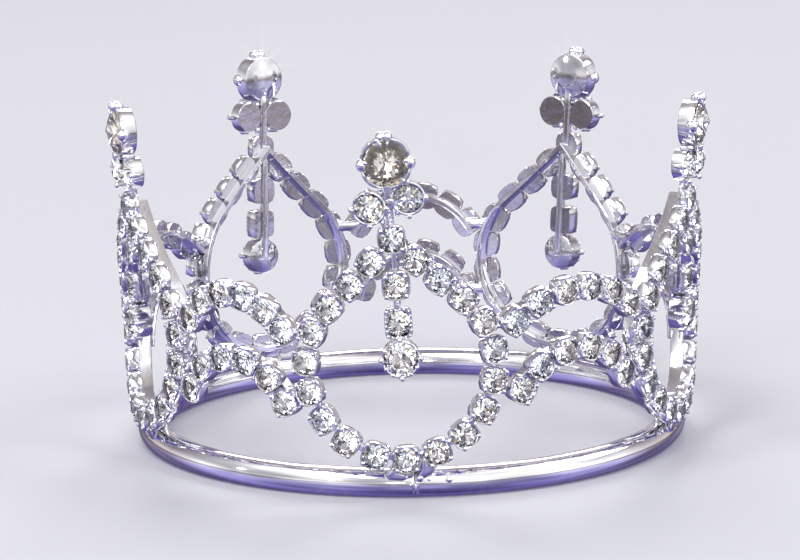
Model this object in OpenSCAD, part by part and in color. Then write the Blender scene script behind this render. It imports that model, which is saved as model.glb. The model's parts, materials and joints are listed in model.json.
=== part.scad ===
// Mini tiara: a small full-round crown of soldered rhinestone chain, in millimetres.
// The origin is the middle of the flat underside of the base ring. +Z is up and -Y is the front.
// Five looped points stand on a round tube ring. Two arched swags of chain join each pair of points.
// Every strip, cup and stone is placed from the variables below, so any of them may be changed.

/* [Base ring] */
// Outer diameter of the base ring
ring_d = 64; // [63:0.5:66]
// Diameter of the ring's round tube
tube_d = 3.3; // [3:0.1:3.6]
// Depth cut off the underside, so that the ring stands flat
flat_cut = 0.12; // [0.05:0.01:0.2]
// Azimuth of the closing seam, counted from the front
seam_az = 0.5; // [-6:0.5:6]

/* [Points] */
// Radius of the loop, measured to the middle of its chain
loop_r = 10.15; // [9.9:0.05:10.3]
// Height of the loop's centre above the ring's tube centre
loop_h = 13.2; // [13.2:0.1:13.6]
// Height of the apex of the teardrop
apex_h = 27.65; // [27:0.05:28.4]
// Cups along one teardrop
cup_n = 20; // [20:1:20]
// Height of the pair of round settings above the apex
pair_h = 31.7; // [31.4:0.1:31.8]
// Height of the big setting at the tip
top_h = 36.2; // [36.1:0.1:36.5]

/* [Cup chain] */
// Width of a chain cup, across its flats
cup_w = 3.15; // [3:0.05:3.15]
// Height of a cup's wall above the strip
cup_t = 1.2; // [1:0.05:1.4]
// Diameter of a chain stone
stone_d = 2.7; // [2.5:0.02:2.7]
// Cups along one swag
swag_n = 6; // [5:1:6]

/* [Strip] */
// Depth of the metal strip behind the cups, measured inward
strip_w = 1.5; // [1.4:0.1:1.8]
// Thickness of the strip
strip_t = 0.7; // [0.5:0.05:0.9]
// Clearance kept between the separate pieces
gap = 0.06; // [0.05:0.01:0.1]

/* [View] */
// Node to show

/* [Hidden] */
// Each row: name, azimuth, lean along the ring, outward flare, and the pair's tilt as half the
// difference in height of its two settings
POINTS = [
    ["front", -0.8, -3, 1.2, 0.42],
    ["right", 70.6, 2, 2.4, 0],
    ["back_right", 145, -2, 2.4, 0],
    ["back_left", 215.4, -2.6, 1.8, 0],
    ["left", 288.6, -1.6, 2.2, 0],
];
// Each row: name, first point, second point, then the upper and the lower swag, and each swag is
// its peak's height, its end cups' distance from the loops, its spacing and its roll to one side
BAYS = [
    ["front_right", 0, 1, [20.8, 2.1, 3.35, 0], [14.1, 2.9, 3.33, 0]],
    ["side_right", 1, 2, [20.3, 1.85, 3.24, 0], [13.6, 2.4, 3.33, 0]],
    ["back", 2, 3, [20.7, 2.15, 3.1, 0], [13.6, 2.4, 3.3, 0]],
    ["side_left", 3, 4, [20.3, 2.05, 3.31, 0], [13.6, 2.6, 3.39, 0]],
    ["front_left", 4, 0, [20.5, 2.3, 3.05, 0], [13.3, 2.2, 3.33, 0]],
];
$fn = 64;
tube_r = tube_d / 2;
ring_r = ring_d / 2 - tube_r;
foot_z = tube_r - flat_cut;
face_r = ring_r + 1.05;
apex_rise = apex_h - loop_h;
tangent_a = asin(loop_r / apex_rise);
arm_len = sqrt(pow(apex_rise, 2) - pow(loop_r, 2));
arc_len = (90 + tangent_a) / 180 * PI * loop_r;
cup_pitch = 2 * (arc_len + arm_len) / cup_n;
pocket_r = stone_d / 2 + 0.08;
pocket_w = 0.3;
prong_r = 0.26;
swag_sink = 0.25;
loop_steps = 44;
arch_steps = 14;
run_out = 1.3;
tail_len = 4.5;
solder_h = 1.3;
solder_sink = 0.65;
drop_u = 0.15;
drop_heights = [22.5, 18.4, 14.45];
pair_u = 2.08;
pair_r = 1.9;
pair_stone_r = 1.5;
top_r = 2.8;
top_stone_r = 2.48;
drop_r = 2.15;
drop_stone_r = 1.78;
silver = [0.83, 0.83, 0.86];
crystal = [0.9, 0.93, 0.98];

// Place along the teardrop's chain, from the foot up the right side: across, height and slope.
function along_side(s) =
    s < arc_len
    ? [
        loop_r * sin(s / loop_r * 180 / PI),
        loop_h - loop_r * cos(s / loop_r * 180 / PI),
        s / loop_r * 180 / PI
    ]
    : [
        (arc_len + arm_len - s) * sin(tangent_a),
        apex_h - (arc_len + arm_len - s) * cos(tangent_a),
        90 + tangent_a
    ];

// Place of one cup of the teardrop, counted from the foot up the right side and down the left.
function cup_place(i) =
    i <= cup_n / 2
    ? (i == cup_n / 2 ? [0, apex_h, 0] : along_side(i * cup_pitch))
    : let (q = along_side((cup_n - i) * cup_pitch)) [-q[0], q[1], -q[2]];

// Azimuth of a point's axis half way up, where the swags join it.
function mid_az(p) = p[1] + p[2] * 16 / face_r;

// Place of one of a point's pair of settings, -1 for the left and 1 for the right.
function pair_place(p, side) = [side * pair_u, pair_h + side * p[4], 0];

// Middle azimuth of a bay, its half angle between the loops, and its flare.
function bay_end(b) = mid_az(POINTS[b[2]]) + (b[2] < b[1] ? 360 : 0);
function bay_az(b) = (mid_az(POINTS[b[1]]) + bay_end(b)) / 2;
function bay_half(b) = (bay_end(b) - mid_az(POINTS[b[1]])) / 2 - asin(loop_r / face_r);
function bay_flare(b) = min(POINTS[b[1]][3], POINTS[b[2]][3]);

// Half chord between the end cups of a swag, its half angle and its radius.
function swag_reach(b, s) = face_r * sin(bay_half(b)) - s[1];
function swag_angle(b, s) =
    let (k = 2 * swag_reach(b, s) / ((swag_n - 1) * s[2]))
    sqrt(10 - 60 * sqrt(1 / 36 - (1 - k) / 30)) * 180 / PI;
function swag_r(b, s) = swag_reach(b, s) / sin(swag_angle(b, s));
function swag_place(b, s, i) =
    let (a = swag_angle(b, s) * (2 * i / (swag_n - 1) - 1) + s[3], r = swag_r(b, s))
    [r * sin(a), s[0] - r * (1 - cos(a)), -a];

// A brilliant-cut stone, with an eight-sided table, eight crown and eight pavilion facets or more.
module cut_stone(r, sides, low, girdle, high) {
    step = 360 / sides;
    table_ring = [for (i = [0:sides - 1]) [0.6 * r * cos(i * step), 0.6 * r * sin(i * step), high]];
    girdle_ring = [for (i = [0:sides - 1])
        [r * cos((i + 0.5) * step), r * sin((i + 0.5) * step), girdle]];
    crown_up = [for (i = [0:sides - 1]) [i, (i + 1) % sides, sides + i]];
    crown_down = [for (i = [0:sides - 1]) [i, sides + i, sides + (i + sides - 1) % sides]];
    pavilion = [for (i = [0:sides - 1]) [2 * sides, sides + (i + sides - 1) % sides, sides + i]];
    table_face = [[for (i = [0:sides - 1]) sides - 1 - i]];
    polyhedron(
        points = concat(table_ring, girdle_ring, [[0, 0, low]]),
        faces = concat(table_face, crown_up, crown_down, pavilion)
    );
}

// The small stone of the cup chain.
module chain_stone() {
    cut_stone(stone_d / 2, 8, pocket_w + 0.08, 1.1, 1.55);
}

// One cup of the chain: an eight-sided box with a round pocket and four prongs.
module chain_cup(sunk = 0.1) {
    difference() {
        union() {
            translate([0, 0, -sunk])
                rotate(22.5)
                cylinder(h = cup_t + sunk, r = cup_w / 2 / cos(22.5), $fn = 8);
            for (a = [45:90:315])
                rotate(a)
                translate([cup_w / 2 - 0.02, 0, 0.2])
                cylinder(h = cup_t + 0.1, r = prong_r, $fn = 24);
        }
        translate([0, 0, pocket_w])
            cylinder(h = 3, r = pocket_r);
    }
}

// A round setting with four claws, for the bigger stones.
module round_setting(r, pocket, floor_w, wall, claw_r, claw_h, sunk = 0.2) {
    difference() {
        union() {
            translate([0, 0, -sunk])
                cylinder(h = wall + sunk, r = r);
            for (a = [0:90:270])
                rotate(a)
                translate([r, 0, 0.3])
                cylinder(h = claw_h - 0.3, r = claw_r, $fn = 24);
        }
        translate([0, 0, floor_w])
            cylinder(h = 5, r = pocket);
    }
}

// A point's own frame: X across, -Y outward from the face of the strip, Z up from the ring's centre.
module at_point(p) {
    rotate([0, 0, p[1]])
        translate([0, -face_r, foot_z])
        rotate([p[3], 0, 0])
        rotate([0, p[2], 0])
        children();
}

// The same frame in the middle of a bay.
module at_bay(b) {
    rotate([0, 0, bay_az(b)])
        translate([0, -face_r, foot_z])
        rotate([bay_flare(b), 0, 0])
        children();
}

// Puts a child on the curved face, its Z outward, at a place across and up, turned by the slope.
module on_face(q, w = 0) {
    translate([0, face_r, 0])
        rotate([0, 0, asin(q[0] / face_r)])
        translate([0, -face_r - w, q[1]])
        rotate([0, -q[2], 0])
        rotate([90, 0, 0])
        children();
}

// A drawn outline pushed through the crown's wall, from w0 to w1 outward of the face.
module through_wall(w0, w1) {
    translate([0, -w0, 0])
        rotate([90, 0, 0])
        linear_extrude(height = w1 - w0)
        children();
}

// A drawn outline, cut out of a round shell so that it follows the crown's curve.
module in_shell(w0, w1, top) {
    intersection() {
        through_wall(w0 - 2.5, w1 + 1)
            children();
        translate([0, face_r, -1])
            difference() {
                cylinder(h = top + 2, r = face_r + w1, $fn = 128);
                translate([0, 0, -1])
                    cylinder(h = top + 4, r = face_r + w0, $fn = 128);
            }
    }
}

// The teardrop outline, grown outward by an amount.
module teardrop(grow) {
    r = loop_r + grow;
    sweep = 90 + tangent_a;
    polygon(concat(
        [for (i = [0:loop_steps])
            let (a = sweep * (2 * i / loop_steps - 1)) [r * sin(a), loop_h - r * cos(a)]],
        [[0, loop_h + apex_rise * r / loop_r]]
    ));
}

module base_ring() {
    color(silver)
        difference() {
            union() {
                rotate_extrude($fn = 128)
                    intersection() {
                        translate([ring_r, foot_z])
                            circle(r = tube_r);
                        translate([ring_r - tube_r - 1, 0])
                            square([tube_d + 2, tube_d + 2]);
                    }
                for (p = POINTS)
                    at_point(p)
                    solder_pad();
            }
            rotate([0, 0, seam_az])
                translate([0, -ring_r, foot_z])
                rotate([0, 90, 0])
                difference() {
                    cylinder(h = 0.16, r = tube_r + 0.5, center = true);
                    cylinder(h = 0.5, r = tube_r - 0.2, center = true);
                }
        }
}

// The solder between the ring and the foot of a loop.
module solder_pad() {
    through_wall(-2, -0.2)
        difference() {
            translate([-1.7, -0.2])
                square([3.4, loop_h - loop_r + 0.1]);
            translate([0, loop_h])
                circle(r = loop_r + strip_t / 2 + gap, $fn = 96);
        }
}

// One soldered point: the teardrop strip with its cups, the pair of settings, and the top setting
// with its broad upper claw.
module point(p) {
    color(silver)
        at_point(p) {
            in_shell(-strip_w, 0, apex_h + 2)
                difference() {
                    teardrop(strip_t / 2);
                    teardrop(-strip_t / 2);
                }
            for (i = [0:cup_n - 1])
                on_face(cup_place(i))
                chain_cup();
            through_wall(-0.3, 0.25)
                translate([-0.45, apex_h])
                square([0.9, top_h - apex_h - top_r + 0.6]);
            for (side = [-1, 1])
                on_face(pair_place(p, side))
                round_setting(pair_r, pair_stone_r + 0.08, 0.4, 1.3, 0.34, 1.75);
            on_face([0, top_h, 0])
                round_setting(top_r, top_stone_r + 0.08, 0.5, 1.7, 0.45, 2.2);
            for (side = [-1, 1])
                on_face([0, top_h, 0])
                translate([side * 0.42, top_r + 0.25, 0.3])
                cylinder(h = 1.9, r = 0.5, $fn = 24);
        }
}

// The stiff drop that hangs inside a loop: three settings soldered in a row.
module drop(p) {
    color(silver)
        at_point(p) {
            through_wall(-0.9, -0.17)
                intersection() {
                    translate([drop_u - 0.45, drop_heights[2]])
                        square([0.9, apex_h - drop_heights[2]]);
                    teardrop(-strip_t / 2 - gap);
                }
            on_face([drop_u, drop_heights[0], 0])
                chain_cup(0.5);
            on_face([drop_u, drop_heights[1], 0])
                square_cup();
            on_face([drop_u, drop_heights[2], 0])
                round_setting(drop_r, drop_stone_r + 0.08, 0.4, 1.35, 0.34, 1.8, 0.5);
        }
}

// The square cup in the middle of a drop.
module square_cup() {
    difference() {
        translate([-1.55, -1.75, -0.5])
            cube([3.1, 3.5, cup_t + 0.5]);
        translate([0, 0, pocket_w])
            cylinder(h = 3, r = pocket_r);
    }
}

// One swag: an arched strip with its cups, stopped just short of the points on both sides.
module swag(b, s) {
    color(silver)
        difference() {
            at_bay(b) {
                in_shell(-strip_w, -swag_sink, s[0] + 3)
                    swag_outline(swag_r(b, s), swag_angle(b, s), s);
                for (i = [0, swag_n - 1])
                    in_shell(-strip_w + 0.2, -solder_sink, s[0] + 3)
                    swag_end(swag_place(b, s, i), i == 0 ? -1 : 1);
                for (i = [0:swag_n - 1])
                    on_face(swag_place(b, s, i))
                    chain_cup(i == 0 || i == swag_n - 1 ? solder_sink + 0.1 : swag_sink + 0.1);
            }
            for (i = [1, 2])
                at_point(POINTS[b[i]])
                through_wall(-8, gap)
                teardrop(strip_t / 2 + gap);
        }
}

// The solder that carries the end of a swag to the side of a loop.
module swag_end(q, side) {
    translate([side > 0 ? q[0] : q[0] - tail_len, q[1] - solder_h / 2])
        square([tail_len, solder_h]);
}

// The arch of a swag's strip, which runs on a little past its end cups.
module swag_outline(r, a, s) {
    polygon(concat(
        arch_edge(r + strip_t / 2, r, a, s, 1),
        arch_edge(r - strip_t / 2, r, a, s, -1)
    ));
}

// One edge of the arch, from end to end.
function arch_edge(edge_r, r, a, s, way) =
    let (more = a + run_out / r * 180 / PI)
    [for (i = [0:arch_steps])
        let (t = way * more * (2 * i / arch_steps - 1) + s[3])
        [edge_r * sin(t), s[0] - r + edge_r * cos(t)]];

module point_stones(p) {
    color(crystal)
        at_point(p) {
            for (i = [0:cup_n - 1])
                on_face(cup_place(i))
                chain_stone();
            for (i = [0, 1])
                on_face([drop_u, drop_heights[i], 0])
                chain_stone();
        }
}

module swag_stones(b, s) {
    color(crystal)
        at_bay(b)
        for (i = [0:swag_n - 1])
            on_face(swag_place(b, s, i))
            chain_stone();
}

module top_stone(p) {
    color(crystal)
        at_point(p)
        on_face([0, top_h, 0])
        cut_stone(top_stone_r, 16, 0.6, 1.75, 2.35);
}

module pair_stone(p, side) {
    color(crystal)
        at_point(p)
        on_face(pair_place(p, side))
        cut_stone(pair_stone_r, 12, 0.48, 1.3, 1.85);
}

module drop_stone(p) {
    color(crystal)
        at_point(p)
        on_face([drop_u, drop_heights[2], 0])
        cut_stone(drop_stone_r, 12, 0.48, 1.35, 2);
}

base_ring();
for (p = POINTS) {
    point(p);
    drop(p);
    top_stone(p);
    pair_stone(p, -1);
    pair_stone(p, 1);
    drop_stone(p);
    point_stones(p);
}
for (b = BAYS) {
    swag(b, b[3]);
    swag(b, b[4]);
    swag_stones(b, b[3]);
    swag_stones(b, b[4]);
}
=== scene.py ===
"""Mini tiara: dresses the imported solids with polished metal, clawed cups and cut crystals."""
import json
import logging
import math
import random
from collections.abc import Callable, Iterable, Sequence
from dataclasses import dataclass
from enum import Enum

import bmesh
import bpy
from mathutils import Matrix, Vector

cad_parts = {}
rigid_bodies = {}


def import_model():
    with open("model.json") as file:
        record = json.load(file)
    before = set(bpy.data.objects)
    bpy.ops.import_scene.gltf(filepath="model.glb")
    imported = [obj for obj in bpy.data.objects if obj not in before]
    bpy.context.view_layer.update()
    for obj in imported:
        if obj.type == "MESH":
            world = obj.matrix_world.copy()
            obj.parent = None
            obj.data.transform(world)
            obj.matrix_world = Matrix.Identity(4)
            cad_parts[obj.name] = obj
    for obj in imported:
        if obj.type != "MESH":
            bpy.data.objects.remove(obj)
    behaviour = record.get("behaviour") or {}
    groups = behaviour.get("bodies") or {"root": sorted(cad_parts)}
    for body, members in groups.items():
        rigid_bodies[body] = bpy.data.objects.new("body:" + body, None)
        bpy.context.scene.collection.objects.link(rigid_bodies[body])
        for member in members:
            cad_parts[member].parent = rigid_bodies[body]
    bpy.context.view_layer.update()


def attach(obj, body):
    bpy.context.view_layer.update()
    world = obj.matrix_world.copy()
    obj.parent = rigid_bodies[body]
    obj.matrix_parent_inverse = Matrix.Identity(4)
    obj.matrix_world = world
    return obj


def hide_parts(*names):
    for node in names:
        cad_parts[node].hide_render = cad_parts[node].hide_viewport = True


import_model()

LOG = logging.getLogger("tiara")
MM = 0.001
Triple = tuple[float, float, float]
Colour = Triple
Stops = tuple[tuple[float, Colour], ...]
Outline = list[tuple[float, float]]
Inputs = dict[str | int, object]
Socket = bpy.types.NodeSocket
Mesh = bpy.types.Mesh
Material = bpy.types.Material
Thing = bpy.types.Object
WHITE = (1.0, 1.0, 1.0)


class Slot(Enum):
    """The record's material slots."""

    RING = "ring_metal"
    CUPS = "cup_metal"
    CRYSTAL = "crystal"


def shift(x: float, y: float, z: float) -> Matrix:
    """A move, in millimetres."""
    return Matrix.Translation((x, y, z))


def spin(axis: str, turn: float) -> Matrix:
    """A turn about an axis, in radians."""
    return Matrix.Rotation(turn, 4, axis)


def angles(count: int, start: float = 0.0) -> list[float]:
    """Angles of places spread evenly round a circle."""
    return [start + math.tau * i / count for i in range(count)]


def polar(radius: float, turn: float, height: float) -> Vector:
    """A point at a radius and an angle about Z, at a height."""
    return Vector((radius * math.cos(turn), radius * math.sin(turn), height))


def squared(turn: float, power: float) -> float:
    """Radius of a rounded square whose flats are 1 from its middle, at an angle."""
    total = abs(math.cos(turn)) ** power + abs(math.sin(turn)) ** power
    return total ** (-1 / power)


# The layout of the crown, as its solids have it.


@dataclass(frozen=True)
class Place:
    """A place on the crown's face: across and up in millimetres, and the chain's slope in radians."""

    across: float
    height: float
    slope: float = 0.0


@dataclass(frozen=True)
class Crown:
    """Main sizes of the crown in millimetres, as its solids have them."""

    ring_r: float = 30.35
    tube_r: float = 1.65
    foot_z: float = 1.53
    face_r: float = 31.4
    loop_r: float = 10.15
    loop_h: float = 13.2
    middle_h: float = 16.0
    apex_h: float = 27.65
    cup_n: int = 20
    strip_t: float = 0.7
    strip_w: float = 1.5
    pair_h: float = 31.7
    pair_u: float = 2.08
    top_h: float = 36.2
    drop_u: float = 0.15
    drop_heights: Triple = (22.5, 18.4, 14.45)

    @property
    def rise(self) -> float:
        """Height of the apex above the loop's centre."""
        return self.apex_h - self.loop_h

    @property
    def tangent(self) -> float:
        """Angle at which the arms leave the round part of the loop."""
        return math.asin(self.loop_r / self.rise)

    @property
    def arm(self) -> float:
        """Length of one straight arm."""
        return math.sqrt(self.rise**2 - self.loop_r**2)

    @property
    def arc(self) -> float:
        """Length of the round part on one side."""
        return (math.pi / 2 + self.tangent) * self.loop_r

    def along(self, run: float) -> Place:
        """Place on the right side of the loop's chain.

        Args:
            run: Length along the chain from its foot.

        Returns:
            The place there.
        """
        if run < self.arc:
            turn = run / self.loop_r
            return Place(self.loop_r * math.sin(turn), self.loop_h - self.loop_r * math.cos(turn), turn)
        left = self.arc + self.arm - run
        height = self.apex_h - left * math.cos(self.tangent)
        return Place(left * math.sin(self.tangent), height, math.pi / 2 + self.tangent)

    def loop_places(self) -> list[Place]:
        """Places of the loop's cups, up the right side and down the left."""
        pitch = 2 * (self.arc + self.arm) / self.cup_n
        right = [self.along(i * pitch) for i in range(self.cup_n // 2)]
        left = [Place(-p.across, p.height, -p.slope) for p in reversed(right[1:])]
        return [*right, Place(0.0, self.apex_h), *left]

    def on_face(self, place: Place, out: float = 0.0) -> Matrix:
        """Frame of a place, with Z outward and X along the chain.

        Args:
            place: The place on the face.
            out: Distance outward of the face.

        Returns:
            The matrix in the point's or the bay's own frame.
        """
        round_to = spin("Z", math.asin(place.across / self.face_r))
        up = shift(0, -self.face_r - out, place.height)
        return shift(0, self.face_r, 0) @ round_to @ up @ spin("Y", -place.slope) @ spin("X", math.pi / 2)

    def on_shell(self, across: float, height: float, out: float) -> Vector:
        """A point on the round shell of the crown's wall."""
        radius = self.face_r + out
        return Vector((across, self.face_r - math.sqrt(radius**2 - across**2), height))

    def loop_edge(self, grow: float) -> Outline:
        """Outline of the teardrop.

        Args:
            grow: Distance outward of the chain's middle.

        Returns:
            The closed outline, across and up, from the left end of the round part.
        """
        arc_steps, arm_steps = 60, 8
        radius = self.loop_r + grow
        sweep = math.pi / 2 + self.tangent
        turns = [sweep * (2 * i / arc_steps - 1) for i in range(arc_steps + 1)]
        line = [(radius * math.sin(t), self.loop_h - radius * math.cos(t)) for t in turns]
        tip = self.loop_h + self.rise * radius / self.loop_r
        side_u, side_h = line[-1]
        parts = [i / arm_steps for i in range(1, arm_steps + 1)]
        line += [(side_u * (1 - part), side_h + (tip - side_h) * part) for part in parts]
        line += [(-side_u * part, tip + (side_h - tip) * part) for part in parts[:-1]]
        return line

    def in_loop(self, across: float, height: float, grow: float) -> bool:
        """Whether a point of a loop's own plane lies inside its outline.

        Args:
            across: How far right of the loop's axis it is.
            height: How far above the loop's foot it is.
            grow: Distance of the outline outward of the chain's middle.

        Returns:
            True for a point inside.
        """
        radius = self.loop_r + grow
        if across**2 + (height - self.loop_h) ** 2 <= radius**2:
            return True
        tip = self.loop_h + self.rise * radius / self.loop_r
        over = height >= self.loop_h + radius * math.sin(self.tangent)
        return over and abs(across) <= (tip - height) * math.tan(self.tangent)


CROWN = Crown()


@dataclass(frozen=True)
class Point:
    """One looped point: its azimuth, lean and flare in degrees, and its pair's tilt in millimetres."""

    name: str
    azimuth: float
    lean: float
    flare: float
    tilt: float = 0.0

    def pair_place(self, side: int) -> Place:
        """Place of one of the pair of settings, -1 for the left and 1 for the right."""
        return Place(side * CROWN.pair_u, CROWN.pair_h + side * self.tilt)

    def matrix(self) -> Matrix:
        """The point's own frame, with -Y outward, in millimetres."""
        foot = spin("Z", math.radians(self.azimuth)) @ shift(0, -CROWN.face_r, CROWN.foot_z)
        return foot @ spin("X", math.radians(self.flare)) @ spin("Y", math.radians(self.lean))

    def mid_azimuth(self) -> float:
        """Azimuth of the axis half way up, in degrees."""
        return self.azimuth + self.lean * CROWN.middle_h / CROWN.face_r


@dataclass(frozen=True)
class Arch:
    """One arched swag: its peak's height, the inset of its end cups, its spacing and its cups."""

    peak: float
    inset: float
    pitch: float
    cups: int = 6


@dataclass(frozen=True)
class Bay:
    """The space between two points, with its upper and its lower swag."""

    name: str
    first: Point
    second: Point
    upper: Arch
    lower: Arch

    def span(self) -> tuple[float, float]:
        """Middle azimuth and half angle between the loops, in degrees."""
        start, end = self.first.mid_azimuth(), self.second.mid_azimuth()
        if end < start:
            end += 360
        half = (end - start) / 2 - math.degrees(math.asin(CROWN.loop_r / CROWN.face_r))
        return (start + end) / 2, half

    def matrix(self) -> Matrix:
        """The bay's own frame, with -Y outward, in millimetres."""
        foot = spin("Z", math.radians(self.span()[0])) @ shift(0, -CROWN.face_r, CROWN.foot_z)
        return foot @ spin("X", math.radians(min(self.first.flare, self.second.flare)))

    def curve(self, arch: Arch) -> tuple[float, float]:
        """Shape of an arch, with its angle from the first terms of the sine's series.

        Args:
            arch: The arch.

        Returns:
            Its radius in millimetres and its half angle in radians.
        """
        reach = CROWN.face_r * math.sin(math.radians(self.span()[1])) - arch.inset
        ratio = 2 * reach / ((arch.cups - 1) * arch.pitch)
        half = math.sqrt(10 - 60 * math.sqrt(1 / 36 - (1 - ratio) / 30))
        return reach / math.sin(half), half

    def places(self, arch: Arch) -> list[Place]:
        """Places of the cups of an arch, from left to right."""
        radius, half = self.curve(arch)
        turns = [half * (2 * i / (arch.cups - 1) - 1) for i in range(arch.cups)]
        return [Place(radius * math.sin(t), arch.peak - radius * (1 - math.cos(t)), -t) for t in turns]


FRONT = Point("front", -0.8, -3, 1.2, 0.42)
RIGHT = Point("right", 70.6, 2, 2.4)
BACK_RIGHT = Point("back_right", 145, -2, 2.4)
BACK_LEFT = Point("back_left", 215.4, -2.6, 1.8)
LEFT = Point("left", 288.6, -1.6, 2.2)
POINTS = (FRONT, RIGHT, BACK_RIGHT, BACK_LEFT, LEFT)
BAYS = (
    Bay("front_right", FRONT, RIGHT, Arch(20.8, 2.1, 3.35), Arch(14.1, 2.9, 3.33)),
    Bay("side_right", RIGHT, BACK_RIGHT, Arch(20.3, 1.85, 3.24), Arch(13.6, 2.4, 3.33)),
    Bay("back", BACK_RIGHT, BACK_LEFT, Arch(20.7, 2.15, 3.1), Arch(13.6, 2.4, 3.3)),
    Bay("side_left", BACK_LEFT, LEFT, Arch(20.3, 2.05, 3.31), Arch(13.6, 2.6, 3.39)),
    Bay("front_left", LEFT, FRONT, Arch(20.5, 2.3, 3.05), Arch(13.3, 2.2, 3.33)),
)


# Tools that draw meshes.


@dataclass(frozen=True)
class Turn:
    """One ring of a turned shape: radius, height, how square it is and how much it is darkened, by the grey
    of solder and by shade painted into hollows.
    """

    radius: float
    height: float
    square: float = 0.0
    solder_and_shade: float = 0.0


def face_out(mesh: Mesh) -> None:
    """Turns the faces of a closed mesh outward."""
    turned = bmesh.new()
    turned.from_mesh(mesh)
    bmesh.ops.recalc_face_normals(turned, faces=turned.faces)
    turned.to_mesh(mesh)
    turned.free()


def shown(name: str, data: bpy.types.ID) -> Thing:
    """Puts a mesh, a light or a camera in the scene and returns its object."""
    thing = bpy.data.objects.new(name, data)
    bpy.context.scene.collection.objects.link(thing)
    return thing


def settle(name: str, mesh: Mesh, slot: Slot, *nodes: str) -> None:
    """Shows a finished piece and lets it stand for its nodes.

    Args:
        name: The piece's name.
        mesh: Its mesh.
        slot: Not used.
        nodes: The nodes that it replaces.
    """
    thing = shown(name, mesh)
    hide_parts(*nodes)
    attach(thing, "root")
    LOG.info("%s: %d faces, for %s", name, len(mesh.polygons), ", ".join(nodes))


def around(matrix: Matrix, count: int, reach: float, start: float = 0.0) -> list[Matrix]:
    """Frames at equal angles round a frame's Z.

    Args:
        matrix: The frame in the middle.
        count: How many there are.
        reach: Their distance from the middle.
        start: Angle of the first one.

    Returns:
        The frames, each with X outward.
    """
    return [matrix @ (spin("Z", turn) @ shift(reach, 0, 0)) for turn in angles(count, start)]


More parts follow.
